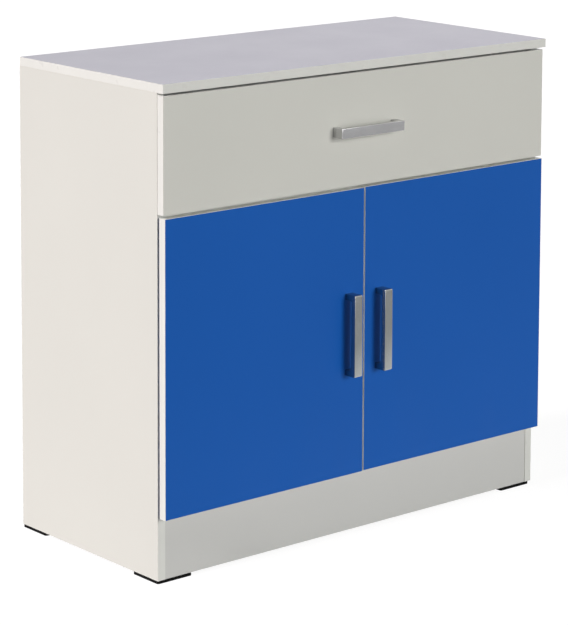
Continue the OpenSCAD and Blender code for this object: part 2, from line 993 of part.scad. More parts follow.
// Mounting plate on the side panel: two screwed wings and a rib that the arm straddles
module hinge_plate() {
    difference() {
        union() {
            translate([0, plate_y0, -rib_half]) cube([rib_top, plate_len, 2 * rib_half]);
            translate([0, plate_hole_y - plate_wing / 2, -plate_wing_half])
                cube([plate_t, plate_wing, 2 * plate_wing_half]);
        }
        translate([plate_t, plate_y0 + plate_t, plate_t - rib_half])
            cube([rib_top, plate_window, 2 * (rib_half - plate_t)]);
        for (y = arm_screw_ys) rod_x(plate_t, y, 0, rib_top, arm_screw_r + gap);
        plate_screw_room();
    }
}

module plate_screw_places() {
    for (s = [-1, 1]) translate([plate_t, plate_hole_y, s * plate_hole_z]) mirror([1, 0, 0])
        children();
}

module plate_screw_room() {
    plate_screw_places() flat_screw_room(plate_screw_len, plate_screw_r, plate_head_r);
}

// Screw pilot room in a side board; the right side's plates sit higher by the door's lift
module hinge_plate_screw_room(lift) {
    translate([0, 0, lift]) hinge_places() plate_screw_room();
}

module both_hinge_sides() {
    hinge_places() children();
    right_hand() hinge_places() children();
}

module hinge_plates() {
    color(ZINC) both_hinge_sides() hinge_plate();
}

module hinge_arms() {
    color(NICKEL) both_hinge_sides() hinge_arm();
}

module hinge_plate_screws() {
    color(STEEL) both_hinge_sides() plate_screw_places()
        flat_screw(plate_screw_len, plate_screw_r, plate_head_r);
}

module hinge_arm_screws() {
    tip = plate_t + 1;
    face = arm_web_x + neck_t / 2;
    color(STEEL) both_hinge_sides() for (y = arm_screw_ys) difference() {
        union() {
            rod_x(tip, y, 0, face - tip, arm_screw_r);
            rod_x(face, y, 0, arm_head_h, arm_head_r);
        }
        translate([face + arm_head_h, y, 0]) rotate([0, 0, -90]) cross_recess(4.2, 1, 1);
    }
}

module left_hinge_cups() {
    color(NICKEL) hinge_places() hinge_cup();
}

module right_hinge_cups() {
    color(NICKEL) right_hand() hinge_places() hinge_cup();
}

module left_hinge_pins() {
    color(STEEL) hinge_places() hinge_pin();
}

module right_hinge_pins() {
    color(STEEL) right_hand() hinge_places() hinge_pin();
}

module cup_screws() {
    hinge_places() cup_screw_places() flat_screw(cup_screw_len, cup_screw_r, cup_head_r);
}

module left_cup_screws() {
    color(STEEL) cup_screws();
}

module right_cup_screws() {
    color(STEEL) right_hand() cup_screws();
}

worktop();
side_left();
side_right();
bottom_panel();
divider_panel();
back_panel();
plinth_front();
plinth_rear();
carcass_edge_bands();
shelf();
shelf_pins();
cam_locks();
cam_bolts();
dowels();
corner_feet();
foot_screws();
slide_outer_left();
slide_outer_right();
slide_outer_screws();
slide_middle_left();
slide_middle_right();
outer_ball_cages();
outer_balls();
inner_ball_cages();
inner_balls();
slide_inner_left();
slide_inner_right();
slide_inner_screws();
drawer_front();
drawer_front_band();
drawer_side_left();
drawer_side_right();
drawer_box_front();
drawer_back();
drawer_bottom();
drawer_box_screws();
front_fixing_screws();
drawer_handle();
drawer_handle_screws();
hinge_plates();
hinge_plate_screws();
hinge_arms();
hinge_arm_screws();
left_door();
left_door_band();
left_door_handle();
left_handle_screws();
left_hinge_cups();
left_hinge_pins();
left_cup_screws();
left_bumpers();
right_door();
right_door_band();
right_door_handle();
right_handle_screws();
right_hinge_cups();
right_hinge_pins();
right_cup_screws();
right_bumpers();
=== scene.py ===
import json
import math

import bmesh
import bpy
from mathutils import Matrix, Vector


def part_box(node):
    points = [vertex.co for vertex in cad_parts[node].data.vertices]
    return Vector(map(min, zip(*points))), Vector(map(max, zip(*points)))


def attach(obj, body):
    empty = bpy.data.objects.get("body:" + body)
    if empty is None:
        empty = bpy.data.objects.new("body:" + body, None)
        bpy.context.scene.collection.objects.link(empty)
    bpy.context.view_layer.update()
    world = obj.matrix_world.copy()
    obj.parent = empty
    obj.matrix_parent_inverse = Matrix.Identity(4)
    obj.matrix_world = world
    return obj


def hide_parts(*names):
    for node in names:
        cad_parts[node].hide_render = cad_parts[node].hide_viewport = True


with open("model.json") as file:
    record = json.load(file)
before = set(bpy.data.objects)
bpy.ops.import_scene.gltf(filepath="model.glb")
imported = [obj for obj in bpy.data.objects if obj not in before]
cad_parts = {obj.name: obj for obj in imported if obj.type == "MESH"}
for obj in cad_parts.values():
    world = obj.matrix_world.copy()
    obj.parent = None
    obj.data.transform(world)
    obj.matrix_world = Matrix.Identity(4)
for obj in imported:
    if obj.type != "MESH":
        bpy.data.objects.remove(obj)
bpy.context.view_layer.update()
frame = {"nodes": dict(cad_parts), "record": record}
NODES = frame["nodes"]
BODY_OF = {
    node: body
    for body, nodes in frame["record"]["behaviour"]["bodies"].items()
    for node in nodes
}
SLOT_OF = {part["node"]: part["material_slot"] for part in frame["record"]["subparts"]}
MM = 0.001


# ---------------------------------------------------------------- materials

class Shader:
    """One procedural material, built as a node tree in object coordinates (metres)."""

    def __init__(self, name):
        self.material = bpy.data.materials.new(name)
        self.material.use_nodes = True
        self.tree = self.material.node_tree
        self.bsdf = self.tree.nodes["Principled BSDF"]
        coordinates = self.add("ShaderNodeTexCoord")
        self.place = coordinates.outputs["Object"]
        self.facing = self.add("ShaderNodeSeparateXYZ", {"Vector": coordinates.outputs["Normal"]}).outputs
        self.axes = self.add("ShaderNodeSeparateXYZ", {"Vector": self.place}).outputs

    def add(self, kind, feeds=None, **settings):
        node = self.tree.nodes.new(kind)
        for key, value in settings.items():
            setattr(node, key, value)
        for key, value in (feeds or {}).items():
            self.feed(node.inputs[key], value)
        return node

    def feed(self, socket, value):
        if isinstance(value, bpy.types.NodeSocket):
            self.tree.links.new(value, socket)
        else:
            socket.default_value = value

    def set(self, **values):
        for key, value in values.items():
            self.feed(self.bsdf.inputs[key.replace("_", " ")], value)

    def stretched(self, stretch):
        feeds = {"Vector": self.place, "Scale": stretch}
        return self.add("ShaderNodeMapping", feeds).outputs["Vector"]

    def noise(self, scale, detail=2.0, stretch=(1, 1, 1), roughness=0.5):
        """Fractal noise, 0 to 1 round a middle of 0.5; scale is in features per metre."""
        feeds = {
            "Vector": self.stretched(stretch),
            "Scale": scale,
            "Detail": detail,
            "Roughness": roughness,
        }
        return self.add("ShaderNodeTexNoise", feeds).outputs["Fac"]

    def cells(self, scale, stretch=(1, 1, 1), output="Distance"):
        feeds = {"Vector": self.stretched(stretch), "Scale": scale}
        return self.add("ShaderNodeTexVoronoi", feeds).outputs[output]

    def span(self, value, low, high, out_low, out_high):
        """Maps value from low..high to out_low..out_high, clamped."""
        feeds = {
            "Value": value,
            "From Min": low,
            "From Max": high,
            "To Min": out_low,
            "To Max": out_high,
        }
        return self.add("ShaderNodeMapRange", feeds).outputs["Result"]

    def math(self, operation, a, b=0.0):
        return self.add("ShaderNodeMath", {0: a, 1: b}, operation=operation).outputs[0]

    def mix(self, share, a, b):
        node = self.add("ShaderNodeMix", data_type="RGBA")
        self.feed(node.inputs[0], share)
        for socket, value in ((node.inputs[6], a), (node.inputs[7], b)):
            self.feed(socket, value if isinstance(value, bpy.types.NodeSocket) else (*value, 1.0))
        return node.outputs[2]

    def blotches(self, colour, scale, spread, detail=4.0):
        """The colour, drifting by the given share to either side in soft clouds."""
        cloud = self.span(self.noise(scale, detail), 0.3, 0.7, 0.0, 1.0)
        return self.mix(cloud, shade(colour, 1 - spread), shade(colour, 1 + spread))

    def bump(self, height, distance, strength=1.0, after=None):
        feeds = {"Height": height, "Distance": distance, "Strength": strength}
        if after is not None:
            feeds["Normal"] = after
        return self.add("ShaderNodeBump", feeds).outputs["Normal"]


def shade(colour, factor):
    return tuple(min(1.0, channel * factor) for channel in colour)


CHIPBOARD = (0.42, 0.27, 0.14)


def board(name, colour, axis, gloss=0.36, shine=0.3, wrapped_top=False):
    """Melamine-faced chipboard. Faces across the axis are pearl-finish melamine, the rest raw chips.

    wrapped_top also covers the upper edge, as on a foil-wrapped drawer side.
    """
    s = Shader(name)
    pearl = s.noise(1150.0, 1.0)
    smear = s.noise(7.0, 5.0, stretch=(1, 1, 0.22), roughness=0.62)
    face = s.mix(s.span(pearl, 0.35, 0.65, 0.0, 0.06), s.blotches(colour, 3.2, 0.013), shade(colour, 0.8))
    chips = s.cells(260.0, stretch=(1, 1, 2.2) if axis != 2 else (1, 2.2, 1), output="Color")
    chip_tone = s.add("ShaderNodeSeparateColor", {"Color": chips}).outputs[0]
    core = s.mix(chip_tone, shade(CHIPBOARD, 0.55), shade(CHIPBOARD, 1.6))
    core = s.mix(s.span(s.noise(900.0, 3.0), 0.4, 0.7, 0.0, 0.5), core, shade(CHIPBOARD, 0.8))
    covered = s.math("GREATER_THAN", s.math("ABSOLUTE", s.facing[axis]), 0.7)
    if wrapped_top:
        covered = s.math("MAXIMUM", covered, s.math("GREATER_THAN", s.facing[2], 0.7))
    s.set(Base_Color=s.mix(covered, core, face), Specular_IOR_Level=shine)
    polish = s.span(smear, 0.35, 0.68, gloss - 0.05, gloss + 0.09)
    s.set(Roughness=s.math("MAXIMUM", polish, s.span(covered, 0.0, 1.0, 0.85, 0.0)))
    relief = s.bump(pearl, 0.00006, 0.35)
    relief = s.bump(s.noise(2.3, 2.0), 0.0006, 0.25, after=relief)
    crumbs = s.math("MULTIPLY", chip_tone, s.math("SUBTRACT", 1.0, covered))
    s.set(Normal=s.bump(crumbs, 0.0002, 0.6, after=relief))
    return s.material


def edge_banding(name, colour):
    """Extruded edge band: smooth, with faint lines along its run."""
    s = Shader(name)
    lines = s.noise(320.0, 2.0, stretch=(0.03, 0.6, 0.03))
    tint = s.mix(s.span(lines, 0.45, 0.75, 0.0, 0.10), s.blotches(colour, 9.0, 0.02), shade(colour, 0.85))
    s.set(Base_Color=tint, Roughness=s.span(s.noise(30.0), 0.3, 0.7, 0.26, 0.38))
    s.set(Specular_IOR_Level=0.3, Normal=s.bump(lines, 0.00004, 0.4))
    return s.material


def hardboard(name, colour, raw):
    """Painted hardboard; its rear and lower faces are the raw side with the press screen's weave."""
    s = Shader(name)
    fibre = s.noise(420.0, 4.0, roughness=0.7)
    threads = 2200.0
    weave_x = s.math("SINE", s.math("MULTIPLY", s.axes[0], threads))
    weave_z = s.math("SINE", s.math("MULTIPLY", s.math("ADD", s.axes[2], s.axes[1]), threads))
    back = s.math("GREATER_THAN", s.math("SUBTRACT", s.facing[1], s.facing[2]), 0.5)
    raw_tint = s.mix(s.span(fibre, 0.3, 0.7, 0.0, 1.0), shade(raw, 0.72), shade(raw, 1.2))
    s.set(Base_Color=s.mix(back, s.blotches(colour, 5.0, 0.02), raw_tint), Specular_IOR_Level=0.3)
    s.set(Roughness=s.span(back, 0.0, 1.0, 0.42, 0.78))
    weave = s.math("MULTIPLY", s.math("MULTIPLY", weave_x, weave_z), back)
    s.set(Normal=s.bump(weave, 0.00012, 0.5, after=s.bump(fibre, 0.00004, 0.25)))
    return s.material


def brushed(name, colour, along, roughness=0.16):
    """Satin nickel, brushed along one axis (0, 1 or 2), with handling smudges."""
    s = Shader(name)
    stretch = tuple(0.035 if i == along else 1.0 for i in range(3))
    strokes = s.noise(2600.0, 3.0, stretch=stretch, roughness=0.6)
    smudge = s.noise(55.0, 3.0)
    tint = s.mix(s.span(strokes, 0.3, 0.7, 0.0, 1.0), shade(colour, 0.94), shade(colour, 1.05))
    s.set(Base_Color=tint, Metallic=1.0)
    shine = s.span(smudge, 0.35, 0.7, roughness, roughness + 0.09)
    s.set(Roughness=s.math("ADD", shine, s.span(strokes, 0.3, 0.7, -0.02, 0.03)))
    s.set(Normal=s.bump(strokes, 0.000008, 0.35))
    return s.material


def zinc_plate(name, colour, roughness=0.3):
    """Bright zinc plating: faintly blotchy passivation and lengthwise drawing marks."""
    s = Shader(name)
    blotch = s.noise(45.0, 3.0)
    marks = s.noise(700.0, 2.0, stretch=(1, 0.02, 1))
    cool = (colour[0], colour[1] * 1.01, colour[2] * 1.03)
    s.set(Base_Color=s.mix(s.span(blotch, 0.3, 0.7, 0.0, 1.0), shade(colour, 0.94), cool), Metallic=1.0)
    s.set(Roughness=s.span(blotch, 0.3, 0.7, roughness, roughness + 0.06))
    s.set(Normal=s.bump(marks, 0.00001, 0.35))
    return s.material


def die_cast(name, colour):
    """Tumbled die-cast zinc: dull, grainy, slightly darker in its pits."""
    s = Shader(name)
    grain = s.noise(1800.0, 3.0)
    pits = s.span(s.cells(700.0), 0.0, 0.35, 1.0, 0.0)
    s.set(Base_Color=s.mix(pits, colour, shade(colour, 0.7)), Metallic=0.9)
    s.set(Roughness=s.span(grain, 0.3, 0.7, 0.42, 0.6), Normal=s.bump(grain, 0.00004, 0.5))
    return s.material


def polished(name, colour):
    """Ground bearing steel with a trace of grease."""
    s = Shader(name)
    grease = s.noise(420.0, 2.0)
    s.set(Base_Color=s.mix(s.span(grease, 0.45, 0.6, 0.0, 0.3), colour, (0.42, 0.38, 0.28)))
    s.set(Metallic=1.0, Roughness=s.span(grease, 0.3, 0.7, 0.08, 0.22))
    return s.material


def beech_wood(name, colour):
    """Fluted beech: long grain along the dowel, short dark flecks."""
    s = Shader(name)
    grain = s.noise(260.0, 4.0, stretch=(0.08, 1, 1))
    fleck = s.noise(900.0, 2.0, stretch=(0.25, 1, 1))
    tint = s.mix(s.span(grain, 0.3, 0.7, 0.0, 1.0), shade(colour, 0.8), shade(colour, 1.15))
    tint = s.mix(s.span(fleck, 0.6, 0.75, 0.0, 0.5), tint, shade(colour, 0.45))
    s.set(Base_Color=tint, Roughness=0.62, Normal=s.bump(grain, 0.0001, 0.4))
    return s.material


def black_plastic(name, colour):
    """Moulded polypropylene with a fine spark-eroded texture and a little dust."""
    s = Shader(name)
    spark = s.noise(1500.0, 3.0, roughness=0.65)
    dust = s.noise(60.0, 5.0, roughness=0.7)
    s.set(Base_Color=s.mix(s.span(dust, 0.55, 0.8, 0.0, 0.25), colour, (0.02, 0.019, 0.018)))
    s.set(Roughness=s.span(spark, 0.3, 0.7, 0.5, 0.7), Normal=s.bump(spark, 0.00003, 0.4))
    s.set(Specular_IOR_Level=0.04)
    return s.material


def clear_bumper(name, colour):
    """Soft polyurethane dot: milky, with a little light passing through."""
    s = Shader(name)
    haze = s.noise(300.0, 2.0)
    s.set(Base_Color=s.mix(s.span(haze, 0.3, 0.7, 0.0, 1.0), shade(colour, 0.9), colour))
    s.set(Roughness=s.span(haze, 0.3, 0.7, 0.18, 0.3), Transmission_Weight=0.55, IOR=1.45)
    return s.material


WHITE = (0.755, 0.755, 0.69)
# Painted shade: the plinth boards get a darker, more neutral copy of the white melamine, for the shade they
# sit in under the doors.
PLINTH_SHADED_WHITE = (0.697, 0.697, 0.665)
# Painted shade: the worktop's top face is given a darker, bluer grey than the white boards, for the dimmer,
# cooler light that falls on the top.
WORKTOP_SHADED_LAVENDER = (0.495, 0.50, 0.55)
BLUE = (0.006, 0.115, 0.495)
X_AXIS, Y_AXIS, Z_AXIS = range(3)

# The faces of each board look along this axis; the drawer's boards have a wrapped upper edge.
BOARD_AXIS = {
    "worktop": Z_AXIS, "side_left": X_AXIS, "side_right": X_AXIS, "bottom_panel": Z_AXIS,
    "divider_panel": Z_AXIS, "shelf": Z_AXIS, "plinth_front": Y_AXIS, "plinth_rear": Y_AXIS,
    "drawer_front": Y_AXIS, "drawer_side_left": X_AXIS, "drawer_side_right": X_AXIS,
    "drawer_box_front": Y_AXIS, "drawer_back": Y_AXIS, "left_door": Y_AXIS, "right_door": Y_AXIS,
}
BOARD_LOOKS = {
    "worktop_laminate": dict(colour=WORKTOP_SHADED_LAVENDER, gloss=0.5, shine=0.16),
    "white_melamine": dict(colour=WHITE),
    "front_melamine": dict(colour=WHITE),
    "plinth_shaded_melamine": dict(colour=PLINTH_SHADED_WHITE),
    "blue_laminate": dict(colour=BLUE, gloss=0.40, shine=0.16),
}
MATERIALS = {
    "edge_band": edge_banding("edge_band", (0.83, 0.835, 0.78)),
    "white_hardboard": hardboard("white_hardboard", (0.74, 0.73, 0.70), (0.24, 0.145, 0.08)),
    # Painted shade: the upright door-handle bars get a darker copy of the nickel than the level drawer bar,
    # for their darker look.
    "nickel": brushed("nickel_upright_shaded", (0.32, 0.33, 0.325), along=Z_AXIS),
    "die_cast_zinc": die_cast("die_cast_zinc", (0.45, 0.45, 0.46)),
    "zinc_steel": zinc_plate("zinc_steel", (0.54, 0.55, 0.56)),
    "ball_steel": polished("ball_steel", (0.66, 0.66, 0.68)),
    "beech": beech_wood("beech", (0.62, 0.45, 0.28)),
    "black_foot": black_plastic("black_foot", (0.004, 0.004, 0.004)),
    "clear_bumper": clear_bumper("clear_bumper", (0.86, 0.88, 0.88)),
}
# The level drawer bar's copy of the nickel is the lighter one; the upright copy above is darker, which is
# painted shade.
NICKEL_LEVEL = brushed("nickel_level", (0.49, 0.49, 0.495), along=X_AXIS)


def board_material(node):
    """The board material for a node, made once for each look, axis and wrapped edge."""
    # The plinth boards take the darker copy of the white melamine, which is painted shade.
    look = "plinth_shaded_melamine" if node.startswith("plinth") else SLOT_OF[node]
    axis = BOARD_AXIS[node]
    wrapped = node.startswith("drawer") and node != "drawer_front"
    name = f"{look}_{'xyz'[axis]}{'_wrapped' if wrapped else ''}"
    if name not in MATERIALS:
        MATERIALS[name] = board(name, axis=axis, wrapped_top=wrapped, **BOARD_LOOKS[look])
    return MATERIALS[name]


def give(obj, material):
    obj.data.materials.clear()
    obj.data.materials.append(material)
    return obj


# ---------------------------------------------------------------- CAD nodes that keep their shape

BEVEL_MM = {
    "corner_feet": 0.3,
    "cam_locks": 0.3,
    "hinge_plates": 0.35,
    "hinge_arms": 0.3,
    "left_hinge_cups": 0.25,
    "right_hinge_cups": 0.25,
}
BOARD_BEVEL_MM = 0.15
BAND_BEVEL_MM = 0.2
SHARP_MM = 0.2


def soften(obj, width):
    """Welds the split corners of the CAD mesh, and rounds its sharp edges."""
    weld = obj.modifiers.new("weld", "WELD")
    weld.merge_threshold = 0.000004
    bevel = obj.modifiers.new("bevel", "BEVEL")
    bevel.width = width
    bevel.segments = 2
    bevel.limit_method = "ANGLE"
    bevel.angle_limit = math.radians(50)
    bevel.harden_normals = True


for node, obj in NODES.items():
    if node in BOARD_AXIS:
        give(obj, board_material(node))
        soften(obj, BOARD_BEVEL_MM * MM)
    else:
        give(obj, MATERIALS[SLOT_OF[node]])
        if "band" in node:
            soften(obj, BAND_BEVEL_MM * MM)
        elif not node.endswith("balls"):
            soften(obj, BEVEL_MM.get(node, SHARP_MM) * MM)


# ---------------------------------------------------------------- mesh tools

def solids(node):
    """The separate solids of a CAD node, each as a list of its corner points."""
    bm = bmesh.new()
    bm.from_mesh(NODES[node].data)
    bmesh.ops.remove_doubles(bm, verts=bm.verts, dist=0.001 * MM)
    left = set(bm.verts)
    groups = []
    while left:
        edge = [left.pop()]
        group = []
        while edge:
            vert = edge.pop()
            group.append(vert.co.copy())
            for link in vert.link_edges:
                other = link.other_vert(vert)
                if other in left:
                    left.remove(other)
                    edge.append(other)
        groups.append(group)
    bm.free()
    groups.sort(key=lambda points: tuple(round(c, 5) for c in box_of(points)[0]))
    return groups


def box_of(points):
    low = Vector([min(p[i] for p in points) for i in range(3)])
    high = Vector([max(p[i] for p in points) for i in range(3)])
    return low, high


class Turned:
    """A turned solid read back from the CAD: its Z axis leaves the wide end's face."""

    def __init__(self, points):
        low, high = box_of(points)
        size = high - low
        axis = max(range(3), key=lambda i: size[i])
        middle = (low + high) / 2

        def radius(keep):
            spread = [(p - middle) for p in points if keep(p[axis])]
            for offset in spread:
                offset[axis] = 0
            return max(offset.length for offset in spread)

        near = 0.05 * MM
        at_high = radius(lambda c: c > high[axis] - near)
        at_low = radius(lambda c: c < low[axis] + near)
        up = at_high > at_low
        out = Vector((0, 0, 0))
        out[axis] = 1 if up else -1
        face = middle.copy()
        face[axis] = high[axis] if up else low[axis]
        self.frame = Matrix.Translation(face) @ out.to_track_quat("Z", "Y").to_matrix().to_4x4()
        self.length = size[axis]
        self.wide = max(at_high, at_low)
        self.narrow = radius(lambda c: (c < middle[axis]) == up)


def lathe(bm, place, profile, segments=32, flute=0.0):
    """Revolves (radius, height) points round the place's Z. A radius of 0 makes a pole.

    flute sinks every other point by that share of the radius.
    """
    rings = []
    for radius, height in profile:
        count = segments if radius > 0 else 1
        ring = []
        for i in range(count):
            angle = 2 * math.pi * i / count
            reach = radius * (1 - flute * (i % 2))
            point = Vector((reach * math.cos(angle), reach * math.sin(angle), height))
            ring.append(bm.verts.new(place @ point))
        rings.append(ring)
    for low, high in zip(rings, rings[1:]):
        for i in range(segments):
            j = (i + 1) % segments
            corners = [low[i % len(low)], low[j % len(low)], high[j % len(high)], high[i % len(high)]]
            corners = list(dict.fromkeys(corners))
            if len(corners) > 2:
                bm.faces.new(corners)
    return rings


def rounded(corners, steps=6):
    """Closed outline of (x, y, radius) corners, with an arc of its own radius at each."""
    points = []
    for i, (x, y, radius) in enumerate(corners):
        here = Vector((x, y))
        if radius == 0:
            points.append(here)
            continue
        to_last = (Vector(corners[i - 1][:2]) - here).normalized()
        to_next = (Vector(corners[(i + 1) % len(corners)][:2]) - here).normalized()
        half = to_last.angle(to_next) / 2
        centre = here + (to_last + to_next).normalized() * (radius / math.sin(half))
        start = here + to_last * (radius / math.tan(half)) - centre
        end = here + to_next * (radius / math.tan(half)) - centre
        turn = start.angle_signed(end)
        for k in range(steps + 1):
            points.append(centre + Matrix.Rotation(-turn * k / steps, 2) @ start)
    return points


def prism(bm, place, outline, depth, bevel=0.0, steps=3):
    """Extrudes an outline along the place's Z, and rounds the edges of its two ends."""
    ends = [[bm.verts.new(place @ Vector((p[0], p[1], z))) for p in outline] for z in (0.0, depth)]
    count = len(outline)
    caps = [bm.faces.new(ends[0][::-1]), bm.faces.new(ends[1])]
    for i in range(count):
        j = (i + 1) % count
        bm.faces.new([ends[0][i], ends[0][j], ends[1][j], ends[1][i]])
    if bevel:
        edges = list({edge for cap in caps for edge in cap.edges})
        bmesh.ops.bevel(
            bm, geom=edges, offset=bevel, segments=steps, profile=0.5, affect="EDGES", clamp_overlap=True
        )


def cross_recess(bm, place, rim, length, width, depth):
    """Closes a rim ring at z = 0 with a flat face that has a tapering cross sunk into it."""
    a, b = length / 2, width / 2
    quarter = [(a, -b), (a, b), (b, b)]
    outline = []
    for _ in range(4):
        outline += quarter
        quarter = [(-y, x) for x, y in quarter]
    mouth = [bm.verts.new(place @ Vector((x, y, 0))) for x, y in outline]
    taper = 0.55
    floor = [bm.verts.new(place @ Vector((x * taper, y * taper, -depth))) for x, y in outline]
    edges = []
    for ring in (rim, mouth):
        for i, vert in enumerate(ring):
            other = ring[(i + 1) % len(ring)]
            edges.append(bm.edges.get((vert, other)) or bm.edges.new((vert, other)))
    bmesh.ops.triangle_fill(bm, edges=edges, use_beauty=True)
    for i in range(len(mouth)):
        j = (i + 1) % len(mouth)
        bm.faces.new([mouth[i], mouth[j], floor[j], floor[i]])
    bm.faces.new(floor[::-1])


def finish_piece(name, bm, node, material):
    """Turns the bmesh into a piece that stands for the CAD node and rides on its body."""
    bmesh.ops.recalc_face_normals(bm, faces=bm.faces)
    mesh = bpy.data.meshes.new(name)
    bm.to_mesh(mesh)
    bm.free()
    mesh.shade_smooth()
    mesh.set_sharp_from_angle(angle=math.radians(38))
    obj = bpy.data.objects.new(name, mesh)
    bpy.context.scene.collection.objects.link(obj)
    give(obj, material)
    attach(obj, BODY_OF[node])
    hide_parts(node)
    return obj


# ---------------------------------------------------------------- handles

HANDLE_LEG = 10.0 * MM
HANDLE_BAR = 9.5 * MM
HANDLE_ARRIS = 0.5 * MM


def strap_handle(node, name, level):
    """Square-section strap with two legs, its bar level or upright, its corners eased."""
    low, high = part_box(node)
    size = high - low
    half = (size.x if level else size.z) / 2
    wide = size.z if level else size.x
    reach = size.y
    base = Vector(((low.x + high.x) / 2, high.y, (low.z + high.z) / 2))
    along = Vector((1, 0, 0)) if level else Vector((0, 0, 1))
    out = Vector((0, -1, 0))
    across = along.cross(out)
    place = Matrix.Translation(base - across * wide / 2) @ Matrix((along, out, across)).transposed().to_4x4()
    inner = half - HANDLE_LEG
    under = reach - HANDLE_BAR
    soft, fillet = 2.2 * MM, 2.0 * MM
    outline = rounded([
        (-half, 0, 0),
        (-inner, 0, 0),
        (-inner, under, fillet),
        (inner, under, fillet),
        (inner, 0, 0),
        (half, 0, 0),
        (half, reach, soft),
        (-half, reach, soft),
    ])
    bm = bmesh.new()
    prism(bm, place, outline, wide, bevel=HANDLE_ARRIS)
    material = NICKEL_LEVEL if level else MATERIALS["nickel"]
    finish_piece(name, bm, node, material)


strap_handle("drawer_handle", "drawer_strap_handle", level=True)
strap_handle("left_door_handle", "left_strap_handle", level=False)
strap_handle("right_door_handle", "right_strap_handle", level=False)


# ---------------------------------------------------------------- screws and other turned pieces

def thread(profile, start, end, crest, pitch):
    """Adds ridges from start down to end, both given as heights."""
    turns = max(2, int((start - end) / pitch))
    step = (start - end) / turns
    root = crest * 0.78
    for i in range(turns):
        top = start - i * step
        profile += [(root, top), (root, top - 0.45 * step), (crest, top - 0.75 * step)]
    return root


def wood_screw(bm, turned):
    """Countersunk chipboard screw with a cross recess and a sharp point."""
    head, shank, length = turned.wide, turned.narrow, turned.length
    cone = head - shank
    rim = 0.25 * MM
    profile = [(head - rim / 2, 0.0), (head, -rim / 2), (head, -rim), (shank, -cone - rim)]
    tip = -length + 1.6 * shank
    root = thread(profile, -cone - rim - 1.5 * MM, tip, shank, 1.1 * shank)
    profile += [(root, tip), (root * 0.5, -length + 0.5 * shank), (0.0, -length)]
    rings = lathe(bm, turned.frame, profile, segments=24)
    cross_recess(bm, turned.frame, rings[0], head * 1.15, head * 0.3, head * 0.55)


def machine_screw(bm, turned):
    """Pan-head machine screw with a cross recess and a fine thread."""
    head, shank, length = turned.wide, turned.narrow, turned.length
    thick = 0.62 * head
    profile = [
        (head * 0.66, 0.0),
        (head * 0.86, -0.14 * thick),
        (head * 0.97, -0.40 * thick),
        (head, -0.75 * thick),
        (head, -thick),
        (shank, -thick),
    ]
    tip = -length + 0.8 * MM
    root = thread(profile, -thick - 2 * MM, tip, shank, 0.7 * MM)
    profile += [(root, tip), (root * 0.8, -length), (0.0, -length)]
    rings = lathe(bm, turned.frame, profile, segments=32)
    cross_recess(bm, turned.frame, rings[0], head * 1.1, head * 0.26, head * 0.36)


def shelf_pin(bm, turned):
    """Nickel shelf support: a barrel with eased ends on a thinner stem."""
    wide, narrow, length = turned.wide, turned.narrow, turned.length
    ease = 0.5 * MM
    barrel = 8.5 * MM
    profile = [(0.0, 0.0), (wide - ease, 0.0), (wide, -ease), (wide, ease - barrel), (wide - ease, -barrel)]
    profile += [(narrow, -barrel), (narrow, ease - length), (narrow - ease, -length), (0.0, -length)]
    lathe(bm, turned.frame, profile, segments=40)


def dowel(bm, turned):
    """Fluted beech dowel with chamfered ends."""
    radius, length = max(turned.wide, turned.narrow), turned.length
    chamfer = 0.8 * MM
    tip = radius - chamfer
    profile = [(0.0, 0.0), (tip, 0.0), (radius, -chamfer), (radius, chamfer - length), (tip, -length)]
    lathe(bm, turned.frame, profile + [(0.0, -length)], segments=40, flute=0.06)


def turned_pieces(node, name, shape, material=None):
    bm = bmesh.new()
    for points in solids(node):
        shape(bm, Turned(points))
    finish_piece(name, bm, node, material or MATERIALS[SLOT_OF[node]])


WOOD_SCREWS = [
    "foot_screws", "slide_outer_screws", "slide_inner_screws", "drawer_box_screws",
    "front_fixing_screws", "hinge_plate_screws", "left_cup_screws", "right_cup_screws",
]
MACHINE_SCREWS = ["drawer_handle_screws", "left_handle_screws", "right_handle_screws"]
for node in WOOD_SCREWS:
    turned_pieces(node, f"{node}_cross_head", wood_screw)
for node in MACHINE_SCREWS:
    turned_pieces(node, f"{node}_pan_head", machine_screw)
turned_pieces("shelf_pins", "shelf_support_pins", shelf_pin)
turned_pieces("dowels", "fluted_dowels", dowel)


def bumper_dots(node, name):
    """Soft domed dots stuck to the back of a door."""
    bm = bmesh.new()
    for points in solids(node):
        low, high = box_of(points)
        radius, height = (high.x - low.x) / 2, high.y - low.y
        seat = Vector(((low.x + high.x) / 2, low.y, (low.z + high.z) / 2))
        place = Matrix.Translation(seat) @ Matrix.Rotation(-math.pi / 2, 4, "X")
        dome = [(0.0, 0.0), (radius, 0.0), (radius, 0.25 * height)]
        for k in range(1, 6):
            angle = math.pi / 2 * k / 6
            dome.append((radius * math.cos(angle), height * (0.25 + 0.75 * math.sin(angle))))
        dome.append((0.0, height))
        lathe(bm, place, dome)
    finish_piece(name, bm, node, MATERIALS[SLOT_OF[node]])


bumper_dots("left_bumpers", "left_bumper_dots")
bumper_dots("right_bumpers", "right_bumper_dots")


# ---------------------------------------------------------------- stage, light, camera

# The camera stands to the front left and a little above, with a long lens. Its axis is nearly
# level, and the lens is shifted to bring the cabinet into the picture, so uprights stay upright.
CAMERA_YAW = math.radians(40.225)
CAMERA_PITCH = math.radians(6.65)
CAMERA_ROLL = math.radians(0.221)
CAMERA_PLACE = Vector((-2.9212, -3.4577, 1.4492))
CAMERA_SENSOR = 36.0
LENS_PER_SENSOR = 4.2232
LENS_SHIFT = {"shift_x": -0.0052, "shift_y": -0.5223}

FLOOR_HALF = 40.0
FLOOR_BOUNCE = 0.25
FLOOR_SEEN_GLOW = 0.92
FLOOR_SEEN_DIFFUSE = 0.16

